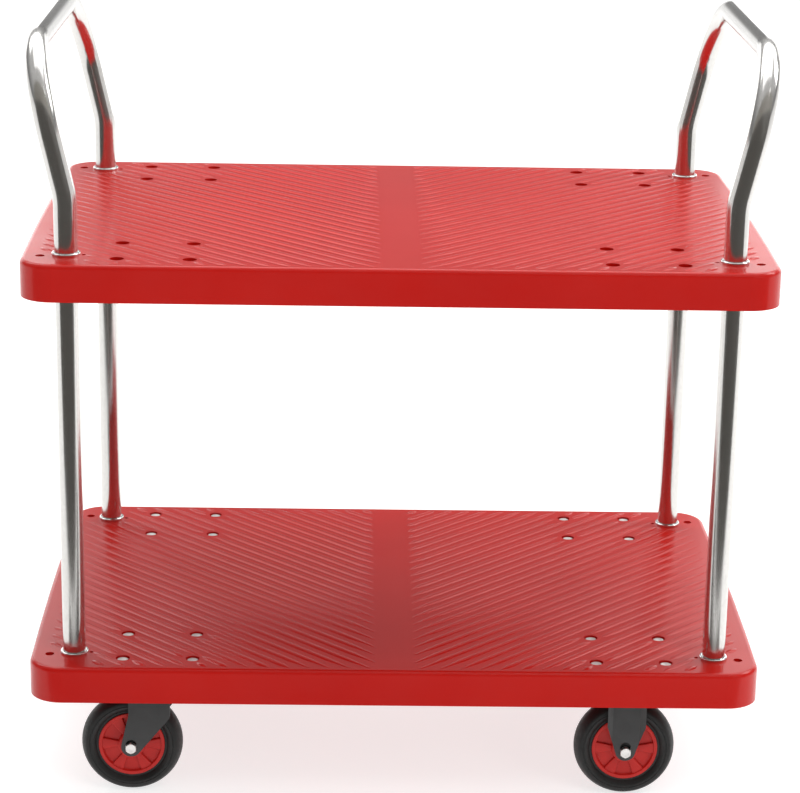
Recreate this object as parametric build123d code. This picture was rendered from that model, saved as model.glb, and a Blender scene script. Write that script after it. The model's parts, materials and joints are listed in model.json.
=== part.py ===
from build123d import *
import os
from math import cos, pi, radians, sin, tan

# A two-deck platform truck: two moulded decks, four posts, a fixed push handle at each end,
# two swivel casters at the left end and two rigid casters at the right end.
# Sizes are in millimetres. X runs along the decks, Y across them and Z up.
# The origin is on the floor, under the middle of the decks.

# Decks. Both come out of one mould, apart from the sockets that hold the posts.
DECK_LENGTH = 905.0
DECK_WIDTH = 605.0
DECK_EDGE_HEIGHT = 45.0
DECK_END_BOW = 3.5
DECK_CORNER_RADIUS = 41.0
DECK_EDGE_FILLET = 6.0
DECK_SKIN = 5.0
SKIRT_WALL = 4.0
DECK_SPACING = 506.0

# Ribs and bosses under the skin of a deck.
RIB_PITCH = 90.0
RIB_WALL = 3.0
RIB_EDGE_MARGIN = 25.0
CASTER_BOSS_RADIUS = 11.0
BOLT_RECESS_RADIUS = 8.5
BOLT_RECESS_DEPTH = 7.0

# Posts and handles, all from the same tube.
TUBE_RADIUS = 14.0
TUBE_WALL = 1.5
TUBE_GAP = 0.1
POST_INSET_X = 55.8
POST_INSET_Y = 54.25
POST_SOCKET_DEPTH = 30.0
POST_SOCKET_FLOOR = 4.0
HANDLE_SOCKET_DEPTH = 18.0
SOCKET_WEB = 4.0
UPPER_POST_SOCKET = 18.0
SOCKET_WALL = 5.9
COLLAR_WIDTH = 3.0
COLLAR_HEIGHT = 3.5

# Shape of a handle: a straight foot, a bend outwards, a leaning run and a rounded corner.
HANDLE_FOOT = 57.6
HANDLE_BEND_RADIUS = 98.0
HANDLE_LEAN = 12.6
HANDLE_HEIGHT = 241.3
HANDLE_CORNER_RADIUS = 105.0

# Small holes through the skin of each deck.
STRAP_HOLE_RADIUS = 5.5
STRAP_HOLE_OUTBOARD = 30.0
STRAP_HOLE_OUTWARD = 7.0
PEG_HOLE_RADIUS = 2.6
PEG_HOLE_INBOARD = 21.0
PEG_HOLE_DEPTH = 12.0

# Cross bolts (M6) that pin the tubes into their sockets.
CROSS_BOLT_RADIUS = 3.0
CROSS_HOLE_RADIUS = 3.2
CROSS_HEAD_FLATS = 10.0
CROSS_HEAD_HEIGHT = 4.0
CROSS_NUT_HEIGHT = 5.0
CROSS_SPOT_RADIUS = 6.2
CROSS_SPOT_DEPTH = 1.0
LOWER_CROSS_DROP = 15.0
HANDLE_CROSS_DROP = 11.5
UPPER_CROSS_DROP = 31.0

# Bolts (M8) that hold the casters, and the axle bolts, which have the same thread.
BOLT_RADIUS = 4.0
BOLT_HOLE_RADIUS = 4.3
BOLT_HEAD_FLATS = 13.0
BOLT_HEAD_HEIGHT = 5.3
BOLT_NUT_HEIGHT = 6.5
BOLT_TAIL = 1.5
BOLT_WASHER_RADIUS = 8.0
BOLT_WASHER_HEIGHT = 1.6
THREAD_GAP = 0.05

# Casters: mounting plate, swivel bearing, fork and bracket.
CASTER_INSET_X = 160.0
CASTER_INSET_Y = 76.5
CASTER_BOLTS_X = 86.0
CASTER_BOLTS_Y = 80.0
PLATE_LENGTH = 110.0
PLATE_WIDTH = 102.0
PLATE_CORNER_RADIUS = 8.0
PLATE_THICKNESS = 3.0
CASTER_HEAD_ROOM = 30.0
DECK_TOP_OVER_CASTERS = 34.5
SWIVEL_TRAIL = 36.0
HEAD_HEIGHT = 13.0
CROWN_THICKNESS = 3.5
CROWN_RADIUS = 34.0
RACE_INNER_RADIUS = 15.0
RACE_OUTER_RADIUS = 29.0
RACE_GAP = 1.0
BALL_RADIUS = 4.0
BALL_RING_RADIUS = 22.0
BALL_SPACING = 8.6
BALL_GAP = 0.05
KINGPIN_RADIUS = 6.5
KINGPIN_GAP = 0.06
KINGPIN_HEAD_RADIUS = 12.0
KINGPIN_HEAD_HEIGHT = 5.0
KINGPIN_HEAD_GAP = 0.3
DUST_RING_WALL = 2.0
DUST_RING_GAP = 0.8
LEG_THICKNESS = 3.0
LEG_END_RADIUS = 12.5
LEG_HOLE_GAP = 0.1
FORK_WAIST_RISE = 42.5
FORK_WAIST_RADIUS = 6.0
FORK_WAIST_BACK = 3.0
FORK_WAIST_FRONT = 40.0
FORK_BEND_RADIUS = 6.0
FORK_KEYHOLE_RISE = 3.5
BRACKET_PANEL = 34.0
BRACKET_WIDTH = 48.0
BRACKET_FLARE = 5.0
BRACKET_TAPER_RISE = 35.0
BRACKET_KEYHOLE_RISE = 6.0
KEYHOLE_RADIUS = 6.5

# Wheels.
WHEEL_RADIUS = 63.5
TYRE_WIDTH = 34.0
TYRE_SHOULDER_RADIUS = 57.0
TYRE_BEAD_WIDTH = 24.0
TYRE_BEAD_DEPTH = 3.0
RIM_RADIUS = 41.5
RIM_WALL = 4.5
RIM_WIDTH = 28.0
HUB_WEB = 19.0
HUB_CORE_RADIUS = 16.0
HUB_LENGTH = 37.0
HUB_SPOKE_COUNT = 6
HUB_SPOKE_ANGLE = 24.0
HUB_SPOKE_WIDTH = 25.0
BUSH_RADIUS = 9.0
SLEEVE_RADIUS = 6.0
SLEEVE_BORE_GAP = 0.1
BUSH_GAP = 0.05
SPACER_RADIUS = 11.0
SPACER_THICKNESS = 1.9
WHEEL_SIDE_GAP = 0.1

# Heights and places that follow from the sizes above.
POST_X = DECK_LENGTH / 2 - POST_INSET_X
POST_Y = DECK_WIDTH / 2 - POST_INSET_Y
CASTER_X = DECK_LENGTH / 2 - CASTER_INSET_X
CASTER_Y = DECK_WIDTH / 2 - CASTER_INSET_Y
CASTER_HEIGHT = 2 * WHEEL_RADIUS + CASTER_HEAD_ROOM
LOWER_DECK_TOP = CASTER_HEIGHT + DECK_TOP_OVER_CASTERS
UPPER_DECK_TOP = LOWER_DECK_TOP + DECK_SPACING
SOCKET_RADIUS = TUBE_RADIUS + TUBE_GAP
BOSS_RADIUS = SOCKET_RADIUS + SOCKET_WALL
LOWER_DECK_BASE = LOWER_DECK_TOP - DECK_EDGE_HEIGHT
UPPER_DECK_BASE = UPPER_DECK_TOP - DECK_EDGE_HEIGHT
RIB_BASE = CASTER_HEIGHT - LOWER_DECK_BASE
SKIN_BASE = DECK_EDGE_HEIGHT - DECK_SKIN
POST_FOOT = LOWER_DECK_TOP - POST_SOCKET_DEPTH
HANDLE_SEAT = UPPER_DECK_TOP - HANDLE_SOCKET_DEPTH
POST_HEAD = HANDLE_SEAT - SOCKET_WEB
PLATE_BASE = CASTER_HEIGHT - PLATE_THICKNESS
CROWN_TOP = PLATE_BASE - HEAD_HEIGHT
CROWN_BASE = CROWN_TOP - CROWN_THICKNESS
BALL_LEVEL = (PLATE_BASE + CROWN_TOP) / 2
LEG_GAP = HUB_LENGTH + 2 * (SPACER_THICKNESS + WHEEL_SIDE_GAP)
LEG_OUTSIDE = LEG_GAP / 2 + LEG_THICKNESS
CORNERS = [(x, y) for x in (-1, 1) for y in (-1, 1)]
CORNER_NAMES = {(-1, -1): "front_left", (1, -1): "front_right", (-1, 1): "rear_left", (1, 1): "rear_right"}


def cylinder(radius, low, high):
    """A cylinder about Z from one height to another."""
    return Pos(0, 0, low) * extrude(Circle(radius), high - low)


def ring(inner, outer, low, high):
    """A tube about Z from one height to another."""
    return Pos(0, 0, low) * extrude(Circle(outer) - Circle(inner), high - low)


def hexagon(flats, low, high):
    """A hexagonal prism about Z, sized across its flats."""
    return Pos(0, 0, low) * extrude(RegularPolygon(flats / 2, 6, major_radius=False), high - low)


def bolt(radius, length, flats, head_height):
    """A hexagon bolt with its shank down from z = 0 and its head above."""
    return hexagon(flats, 0, head_height) + cylinder(radius, -length, 0)


def nut(radius, flats, height):
    """A hexagon nut that hangs from z = 0."""
    return hexagon(flats, -height, 0) - cylinder(radius + THREAD_GAP, -height, 0)


def save(name, *pieces):
    """Write one node: a single solid, or a group of equal pieces."""
    solids = [solid for piece in pieces for solid in piece.solids()]
    shape = solids[0] if len(solids) == 1 else Compound(children=solids)
    export_step(shape, os.path.join("parts", name + ".step"))


def deck_outline(inset):
    """Plan outline of a deck, moved inwards: straight sides, bowed ends and round corners."""
    half_width = DECK_WIDTH / 2 - inset
    half_length = DECK_LENGTH / 2 - inset
    corner_x = half_length - DECK_END_BOW
    left_front, right_front = (-corner_x, -half_width), (corner_x, -half_width)
    left_rear, right_rear = (-corner_x, half_width), (corner_x, half_width)
    outline = make_face([
        Line(left_front, right_front),
        ThreePointArc(right_front, (half_length, 0), right_rear),
        Line(right_rear, left_rear),
        ThreePointArc(left_rear, (-half_length, 0), left_front),
    ])
    return fillet(outline.vertices(), DECK_CORNER_RADIUS - inset)


def rib_places(size):
    """Places of the ribs across one side of a deck, from its middle outwards."""
    count = int((size / 2 - RIB_EDGE_MARGIN) // RIB_PITCH)
    return [step * RIB_PITCH for step in range(-count, count + 1)]


def caster_bolt_places():
    """Centres of the caster bolts in plan, four for each caster."""
    places = []
    for side, front in CORNERS:
        for step_x, step_y in CORNERS:
            x = side * CASTER_X + step_x * CASTER_BOLTS_X / 2
            y = front * CASTER_Y + step_y * CASTER_BOLTS_Y / 2
            places.append((x, y))
    return places


def rib_lattice():
    """Crossed ribs under the skin, left out round the post bosses so that a spanner gets in."""
    across = [Pos(x, 0) * Rectangle(RIB_WALL, DECK_WIDTH) for x in rib_places(DECK_LENGTH)]
    along = [Pos(0, y) * Rectangle(DECK_LENGTH, RIB_WALL) for y in rib_places(DECK_WIDTH)]
    lines = (Sketch() + across + along) & deck_outline(SKIRT_WALL / 2)
    pocket_reach = BOSS_RADIUS + CROSS_NUT_HEIGHT + 2 * BOLT_TAIL + RIB_WALL
    pocket = Rectangle(2 * pocket_reach, 4 * CROSS_SPOT_RADIUS)
    lines -= [Pos(side * POST_X, front * POST_Y) * pocket for side, front in CORNERS]
    return Pos(0, 0, RIB_BASE) * extrude(lines, SKIN_BASE - RIB_BASE + DECK_SKIN / 2)


def cross_hole(height):
    """Cutter for a cross bolt: its hole along X through a boss, with a flat seat at each end."""
    reach = BOSS_RADIUS + CROSS_NUT_HEIGHT + BOLT_TAIL
    seat = BOSS_RADIUS - CROSS_SPOT_DEPTH
    hole = cylinder(CROSS_HOLE_RADIUS, -reach, reach)
    hole += cylinder(CROSS_SPOT_RADIUS, seat, reach) + cylinder(CROSS_SPOT_RADIUS, -reach, -seat)
    return Pos(0, 0, height) * Rot(0, 90, 0) * hole


def deck_blank():
    """Deck with its ribs and caster bosses, on z = 0, before the posts' sockets and the holes."""
    shell = extrude(deck_outline(0), DECK_EDGE_HEIGHT)
    shell = fillet(shell.faces().sort_by(Axis.Z)[-1].edges(), DECK_EDGE_FILLET)
    shell -= extrude(deck_outline(SKIRT_WALL), SKIN_BASE)
    boss = cylinder(CASTER_BOSS_RADIUS, RIB_BASE, SKIN_BASE)
    return shell + [rib_lattice()] + [Pos(x, y) * boss for x, y in caster_bolt_places()]


def deck_holes():
    """Cutters that both decks share: caster bolts, straps and the peg hole beside each post."""
    cutters = []
    recess_floor = DECK_EDGE_HEIGHT - BOLT_RECESS_DEPTH
    for x, y in caster_bolt_places():
        cutters.append(Pos(x, y) * cylinder(BOLT_HOLE_RADIUS, 0, DECK_EDGE_HEIGHT))
        cutters.append(Pos(x, y) * cylinder(BOLT_RECESS_RADIUS, recess_floor, DECK_EDGE_HEIGHT))
    for side, front in CORNERS:
        strap_x = side * (POST_X + STRAP_HOLE_OUTBOARD)
        strap_y = front * (POST_Y + STRAP_HOLE_OUTWARD)
        cutters.append(Pos(strap_x, strap_y) * cylinder(STRAP_HOLE_RADIUS, SKIN_BASE, DECK_EDGE_HEIGHT))
        peg = cylinder(PEG_HOLE_RADIUS, DECK_EDGE_HEIGHT - PEG_HOLE_DEPTH, DECK_EDGE_HEIGHT)
        cutters.append(Pos(side * (POST_X - PEG_HOLE_INBOARD), front * POST_Y) * peg)
    return cutters


def finished_deck(base, boss_low, cutters):
    """A deck at its height, with a boss for each post and the cutters taken out of each boss."""
    boss = cylinder(BOSS_RADIUS, boss_low - base, SKIN_BASE)
    places = [Pos(side * POST_X, front * POST_Y) for side, front in CORNERS]
    deck = deck_blank() + [place * boss for place in places]
    sockets = [place * Pos(0, 0, -base) * cutter for place in places for cutter in cutters]
    return Pos(0, 0, base) * (deck - sockets - deck_holes())


def lower_deck():
    """Deck that the casters bolt to; its posts stand on the floors of blind sockets."""
    socket = cylinder(SOCKET_RADIUS, POST_FOOT, LOWER_DECK_TOP)
    cutters = [socket, cross_hole(LOWER_DECK_TOP - LOWER_CROSS_DROP)]
    return finished_deck(LOWER_DECK_BASE, POST_FOOT - POST_SOCKET_FLOOR, cutters)


def upper_deck():
    """Deck with a web in each boss: a handle stands on it and a post comes up under it."""
    post_low = POST_HEAD - UPPER_POST_SOCKET
    cutters = [
        cylinder(SOCKET_RADIUS, HANDLE_SEAT, UPPER_DECK_TOP),
        cylinder(SOCKET_RADIUS, post_low, POST_HEAD),
        cross_hole(UPPER_DECK_TOP - HANDLE_CROSS_DROP),
        cross_hole(UPPER_DECK_TOP - UPPER_CROSS_DROP),
    ]
    return finished_deck(UPPER_DECK_BASE, post_low, cutters)


def tube_cross_hole(height):
    """Cutter for a cross bolt's hole through a tube, about the tube's own axis."""
    half = TUBE_RADIUS + TUBE_WALL
    return Pos(0, 0, height) * Rot(0, 90, 0) * cylinder(CROSS_HOLE_RADIUS, -half, half)


def post():
    """Tube between the decks, drilled near both ends."""
    tube = ring(TUBE_RADIUS - TUBE_WALL, TUBE_RADIUS, POST_FOOT, POST_HEAD)
    tube -= tube_cross_hole(LOWER_DECK_TOP - LOWER_CROSS_DROP)
    return tube - tube_cross_hole(UPPER_DECK_TOP - UPPER_CROSS_DROP)


def handle_path(side):
    """Centre line of a handle, from the foot of its front leg to the foot of its rear leg."""
    lean = radians(HANDLE_LEAN)
    bend_level = UPPER_DECK_TOP + HANDLE_FOOT
    bend_out = HANDLE_BEND_RADIUS * (1 - cos(lean))
    bend_up = HANDLE_BEND_RADIUS * sin(lean)
    half_out = HANDLE_BEND_RADIUS * (1 - cos(lean / 2))
    half_up = HANDLE_BEND_RADIUS * sin(lean / 2)
    slope = (HANDLE_HEIGHT - HANDLE_FOOT - bend_up) / cos(lean)
    straight = slope - HANDLE_CORNER_RADIUS
    corner_diagonal = HANDLE_CORNER_RADIUS * cos(pi / 4)

    def on_slope(distance, y):
        out = bend_out + distance * sin(lean)
        return (side * (POST_X + out), y, bend_level + bend_up + distance * cos(lean))

    edges = []
    for front in (-1, 1):
        y = front * POST_Y
        corner_y = front * (POST_Y - HANDLE_CORNER_RADIUS)
        foot = (side * POST_X, y, HANDLE_SEAT)
        bend_start = (side * POST_X, y, bend_level)
        bend_middle = (side * (POST_X + half_out), y, bend_level + half_up)
        corner_start = on_slope(straight, y)
        corner_middle = on_slope(straight + corner_diagonal, corner_y + front * corner_diagonal)
        corner_end = on_slope(slope, corner_y)
        edges += [
            Line(foot, bend_start),
            ThreePointArc(bend_start, bend_middle, on_slope(0, y)),
            Line(on_slope(0, y), corner_start),
            ThreePointArc(corner_start, corner_middle, corner_end),
        ]
    half_bar = POST_Y - HANDLE_CORNER_RADIUS
    edges.append(Line(on_slope(slope, -half_bar), on_slope(slope, half_bar)))
    return Wire(edges)


def handle(side):
    """U-shaped push handle of bent tube, drilled near the foot of each leg."""
    start = Plane((side * POST_X, -POST_Y, HANDLE_SEAT), z_dir=(0, 0, 1))
    path = handle_path(side)
    tube = sweep(start * Circle(TUBE_RADIUS), path) - sweep(start * Circle(TUBE_RADIUS - TUBE_WALL), path)
    hole = tube_cross_hole(UPPER_DECK_TOP - HANDLE_CROSS_DROP)
    return tube - [Pos(side * POST_X, front * POST_Y) * hole for front in (-1, 1)]


def collars(level):
    """Trim rings round the four tubes where they leave a deck."""
    collar = ring(SOCKET_RADIUS, SOCKET_RADIUS + COLLAR_WIDTH, level, level + COLLAR_HEIGHT)
    top_edges = collar.faces().sort_by(Axis.Z)[-1].edges()
    collar = chamfer(top_edges.sort_by(SortBy.LENGTH)[-1], COLLAR_WIDTH / 3)
    return [Pos(side * POST_X, front * POST_Y) * collar for side, front in CORNERS]


def cross_bolts(height):
    """Bolts and nuts that pin four tubes at one height: heads inboard, nuts outboard."""
    seat = BOSS_RADIUS - CROSS_SPOT_DEPTH
    length = 2 * seat + CROSS_NUT_HEIGHT + BOLT_TAIL
    pin = Pos(0, 0, seat) * bolt(CROSS_BOLT_RADIUS, length, CROSS_HEAD_FLATS, CROSS_HEAD_HEIGHT)
    cap = Pos(0, 0, -seat) * nut(CROSS_BOLT_RADIUS, CROSS_HEAD_FLATS, CROSS_NUT_HEIGHT)
    places = [Pos(side * POST_X, front * POST_Y, height) * Rot(0, -90 * side, 0) for side, front in CORNERS]
    return [place * pin for place in places], [place * cap for place in places]


def caster_fasteners():
    """Bolts, washers and nuts that hold the four caster plates under the lower deck."""
    seat = LOWER_DECK_TOP - BOLT_RECESS_DEPTH
    washer_base = PLATE_BASE - BOLT_WASHER_HEIGHT
    length = seat - washer_base + BOLT_NUT_HEIGHT + BOLT_TAIL
    stack = [
        Pos(0, 0, seat) * bolt(BOLT_RADIUS, length, BOLT_HEAD_FLATS, BOLT_HEAD_HEIGHT),
        ring(BOLT_HOLE_RADIUS, BOLT_WASHER_RADIUS, washer_base, PLATE_BASE),
        Pos(0, 0, washer_base) * nut(BOLT_RADIUS, BOLT_HEAD_FLATS, BOLT_NUT_HEIGHT),
    ]
    return [[Pos(x, y) * piece for x, y in caster_bolt_places()] for piece in stack]


def mounting_plate():
    """Caster plate with its four bolt holes, centred on the caster's own Z axis."""
    outline = RectangleRounded(PLATE_LENGTH, PLATE_WIDTH, PLATE_CORNER_RADIUS)
    for step_x, step_y in CORNERS:
        outline -= Pos(step_x * CASTER_BOLTS_X / 2, step_y * CASTER_BOLTS_Y / 2) * Circle(BOLT_HOLE_RADIUS)
    return Pos(0, 0, PLATE_BASE) * extrude(outline, PLATE_THICKNESS)


def ball_groove():
    """Cutter for the groove that the balls run in."""
    return Pos(0, 0, BALL_LEVEL) * Torus(BALL_RING_RADIUS, BALL_RADIUS + BALL_GAP)


def swivel_plate():
    """Mounting plate with the upper ball race pressed into it and a hole for the kingpin."""
    plate = mounting_plate()
    plate += ring(RACE_INNER_RADIUS, RACE_OUTER_RADIUS, BALL_LEVEL + RACE_GAP / 2, CASTER_HEIGHT)
    plate -= cylinder(KINGPIN_RADIUS + KINGPIN_GAP, PLATE_BASE, CASTER_HEIGHT)
    return plate - ball_groove()


def kingpin():
    """Rivet that the fork swivels about: flush in the plate, with a head under the crown."""
    head_top = CROWN_BASE - KINGPIN_HEAD_GAP
    pin = cylinder(KINGPIN_RADIUS, head_top, CASTER_HEIGHT)
    return pin + cylinder(KINGPIN_HEAD_RADIUS, head_top - KINGPIN_HEAD_HEIGHT, head_top)


def dust_ring():
    """Ring under the plate that keeps dirt out of the balls."""
    inner = RACE_OUTER_RADIUS + DUST_RING_GAP
    return ring(inner, inner + DUST_RING_WALL, CROWN_TOP + DUST_RING_GAP, PLATE_BASE)


def swivel_balls():
    """Ring of balls between the two races."""
    count = int(2 * pi * BALL_RING_RADIUS // BALL_SPACING)
    ball = Pos(BALL_RING_RADIUS, 0, BALL_LEVEL) * Sphere(BALL_RADIUS)
    return [Rot(0, 0, 360 * step / count) * ball for step in range(count)]


def leg_cutter(outline, axle_x, keyhole_rise):
    """Side shape of a pair of legs, with the axle hole and the larger hole that runs into it."""
    outline -= Pos(axle_x, WHEEL_RADIUS) * Circle(BOLT_RADIUS + LEG_HOLE_GAP)
    outline -= Pos(axle_x, WHEEL_RADIUS + keyhole_rise) * Circle(KEYHOLE_RADIUS)
    return extrude(Plane.XZ * outline, 2 * LEG_OUTSIDE, both=True)


def fork():
    """Swivel fork about the kingpin: a round crown with the lower race, and two trailing legs."""
    rise = WHEEL_RADIUS + FORK_WAIST_RISE
    back = -SWIVEL_TRAIL - FORK_WAIST_BACK + FORK_WAIST_RADIUS
    front = back + FORK_WAIST_FRONT
    end = Pos(-SWIVEL_TRAIL, WHEEL_RADIUS) * Circle(LEG_END_RADIUS)
    waist = Pos(back, rise) * Circle(FORK_WAIST_RADIUS) + Pos(front, rise) * Circle(FORK_WAIST_RADIUS)
    width = front - back + 2 * FORK_WAIST_RADIUS
    top = Pos((front + back) / 2, (rise + CROWN_TOP) / 2) * Rectangle(width, CROWN_TOP - rise)
    outline = make_hull((end + waist).edges()) + top
    channel = Rectangle(2 * LEG_OUTSIDE, 2 * CROWN_TOP)
    channel = fillet(channel.vertices(), FORK_BEND_RADIUS)
    inner = Rectangle(LEG_GAP, 2 * CROWN_BASE)
    inner = fillet(inner.vertices(), FORK_BEND_RADIUS - LEG_THICKNESS)
    channel = extrude(Plane.YZ * (channel - inner), SWIVEL_TRAIL + CROWN_RADIUS, both=True)
    legs = channel & leg_cutter(outline, -SWIVEL_TRAIL, FORK_KEYHOLE_RISE)
    crown = cylinder(CROWN_RADIUS, CROWN_BASE, CROWN_TOP)
    race = ring(RACE_INNER_RADIUS, RACE_OUTER_RADIUS, CROWN_TOP, BALL_LEVEL - RACE_GAP / 2)
    whole = legs + crown + race
    whole -= cylinder(KINGPIN_RADIUS + KINGPIN_GAP, CROWN_BASE, CROWN_TOP)
    return whole - ball_groove()


def bracket():
    """Rigid caster bracket: the mounting plate and two legs with flared edges."""
    half_panel = BRACKET_PANEL / 2
    half_width = BRACKET_WIDTH / 2
    outer = -LEG_OUTSIDE
    inner = outer + LEG_THICKNESS
    section = make_face(Polyline(
        (-half_width, outer - BRACKET_FLARE), (-half_panel, outer), (half_panel, outer),
        (half_width, outer - BRACKET_FLARE), (half_width, inner - BRACKET_FLARE), (half_panel, inner),
        (-half_panel, inner), (-half_width, inner - BRACKET_FLARE), close=True))
    joined = PLATE_BASE + PLATE_THICKNESS / 2
    leg = extrude(section, joined)
    taper = WHEEL_RADIUS + BRACKET_TAPER_RISE
    top = Pos(0, (taper + joined) / 2) * Rectangle(BRACKET_WIDTH, joined - taper)
    outline = make_hull((Pos(0, WHEEL_RADIUS) * Circle(LEG_END_RADIUS) + top).edges())
    leg = leg & leg_cutter(outline, 0, BRACKET_KEYHOLE_RISE)
    return mounting_plate() + leg + mirror(leg, about=Plane.XZ)


def on_axle(shape):
    """Turn a piece made about Z so that it lies along Y at the height of an axle."""
    return Pos(0, 0, WHEEL_RADIUS) * Rot(90, 0, 0) * shape


def axle_bolt():
    """Axle bolt with its head on the front side."""
    length = 2 * LEG_OUTSIDE + BOLT_NUT_HEIGHT + BOLT_TAIL
    return on_axle(Pos(0, 0, LEG_OUTSIDE) * bolt(BOLT_RADIUS, length, BOLT_HEAD_FLATS, BOLT_HEAD_HEIGHT))


def axle_nut():
    """Nut on the rear side of the legs."""
    return on_axle(Pos(0, 0, -LEG_OUTSIDE) * nut(BOLT_RADIUS, BOLT_HEAD_FLATS, BOLT_NUT_HEIGHT))


def axle_sleeve():
    """Tube between the legs that the wheel turns on."""
    return on_axle(ring(BOLT_RADIUS + SLEEVE_BORE_GAP, SLEEVE_RADIUS, -LEG_GAP / 2, LEG_GAP / 2))


def axle_spacers():
    """Two plastic rings that keep the hub off the legs."""
    spacer = ring(SLEEVE_RADIUS + BUSH_GAP, SPACER_RADIUS, LEG_GAP / 2 - SPACER_THICKNESS, LEG_GAP / 2)
    return [on_axle(spacer), on_axle(mirror(spacer, about=Plane.XY))]


def wheel_bush():
    """Bush in the hub."""
    return on_axle(ring(SLEEVE_RADIUS + BUSH_GAP, BUSH_RADIUS, -HUB_LENGTH / 2, HUB_LENGTH / 2))


def wheel_hub():
    """Moulded wheel centre: a core, a web with broad spokes on both sides, and a rim."""
    core = ring(BUSH_RADIUS, HUB_CORE_RADIUS, -HUB_LENGTH / 2, HUB_LENGTH / 2)
    web = ring(BUSH_RADIUS, RIM_RADIUS, -HUB_WEB / 2, HUB_WEB / 2)
    rim = ring(RIM_RADIUS - RIM_WALL, RIM_RADIUS, -RIM_WIDTH / 2, RIM_WIDTH / 2)
    hub = core + web + rim
    low = HUB_CORE_RADIUS - 1.5
    high = RIM_RADIUS - RIM_WALL / 2
    spread = tan(radians(HUB_SPOKE_ANGLE / 2))
    outline = Polyline((low, -low * spread), (high, -high * spread), (high, high * spread), (low, low * spread), close=True)
    spoke = Pos(0, 0, -HUB_SPOKE_WIDTH / 2) * extrude(make_face(outline), HUB_SPOKE_WIDTH)
    return on_axle(hub + [Rot(0, 0, 360 * step / HUB_SPOKE_COUNT) * spoke for step in range(HUB_SPOKE_COUNT)])


def tyre():
    """Solid rubber tyre with a round tread and a narrow groove beside the rim."""
    half = TYRE_WIDTH / 2
    bead = TYRE_BEAD_WIDTH / 2
    bead_top = RIM_RADIUS + TYRE_BEAD_DEPTH
    side_start = (bead_top + half - bead, half)
    shoulder = (TYRE_SHOULDER_RADIUS, half)
    lines = [
        Line((RIM_RADIUS, -bead), (RIM_RADIUS, bead)),
        Line((RIM_RADIUS, bead), (bead_top, bead)),
        Line((bead_top, bead), side_start),
        Line(side_start, shoulder),
        ThreePointArc(shoulder, (WHEEL_RADIUS, 0), (TYRE_SHOULDER_RADIUS, -half)),
        Line((TYRE_SHOULDER_RADIUS, -half), (side_start[0], -half)),
        Line((side_start[0], -half), (bead_top, -bead)),
        Line((bead_top, -bead), (RIM_RADIUS, -bead)),
    ]
    return on_axle(revolve(Plane.XZ * make_face(lines), Axis.Z))


def save_wheel(name, place):
    """Write the pieces of one wheel and of its axle, with the axle at the place given."""
    save("axle_bolt_" + name, place * axle_bolt())
    save("axle_nut_" + name, place * axle_nut())
    save("axle_sleeve_" + name, place * axle_sleeve())
    save("axle_spacers_" + name, *[place * spacer for spacer in axle_spacers()])
    save("wheel_bush_" + name, place * wheel_bush())
    save("wheel_hub_" + name, place * wheel_hub())
    save("tyre_" + name, place * tyre())


def save_casters():
    """Write the two swivel casters on the left and the two rigid ones on the right."""
    for side, front in CORNERS:
        name = CORNER_NAMES[side, front]
        turn = Rot(0, 0, 180) if front > 0 else Rot(0, 0, 0)
        centre = Pos(side * CASTER_X, front * CASTER_Y)
        if side < 0:
            save("swivel_plate_" + name, centre * swivel_plate())
            save("kingpin_" + name, centre * kingpin())
            save("dust_ring_" + name, centre * dust_ring())
            save("swivel_balls_" + name, *[centre * ball for ball in swivel_balls()])
            save("swivel_fork_" + name, centre * fork())
            save_wheel(name, centre * Pos(-SWIVEL_TRAIL, 0) * turn)
        else:
            save("rigid_bracket_" + name, centre * bracket())
            save_wheel(name, centre * turn)


os.makedirs("parts", exist_ok=True)
save("lower_deck", lower_deck())
save("upper_deck", upper_deck())
for corner, corner_name in CORNER_NAMES.items():
    save("post_" + corner_name, Pos(corner[0] * POST_X, corner[1] * POST_Y) * post())
save("left_handle", handle(-1))
save("right_handle", handle(1))
save("lower_collars", *collars(LOWER_DECK_TOP))
save("upper_collars", *collars(UPPER_DECK_TOP))
for group, drop_level in (
    ("lower_post", LOWER_DECK_TOP - LOWER_CROSS_DROP),
    ("upper_post", UPPER_DECK_TOP - UPPER_CROSS_DROP),
    ("handle", UPPER_DECK_TOP - HANDLE_CROSS_DROP),
):
    group_bolts, group_nuts = cross_bolts(drop_level)
    save(group + "_bolts", *group_bolts)
    save(group + "_nuts", *group_nuts)
plate_bolts, plate_washers, plate_nuts = caster_fasteners()
save("caster_bolts", *plate_bolts)
save("caster_washers", *plate_washers)
save("caster_nuts", *plate_nuts)
save_casters()
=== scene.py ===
# %% [markdown]
# # A two-deck platform truck
# This lesson dresses a platform truck: two red moulded decks on four bright posts, a bent
# push handle at each end, two swivel casters and two rigid ones. The exact sizes come from
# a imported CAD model. Blender adds what CAD leaves plain: the anti-slip ridges, softened
# edges, the grain of each finish, the light and the camera.

import json
from math import asin, cos, hypot, pi, radians, sin, tan

import bmesh
import bpy
from mathutils import Matrix, Vector

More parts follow.
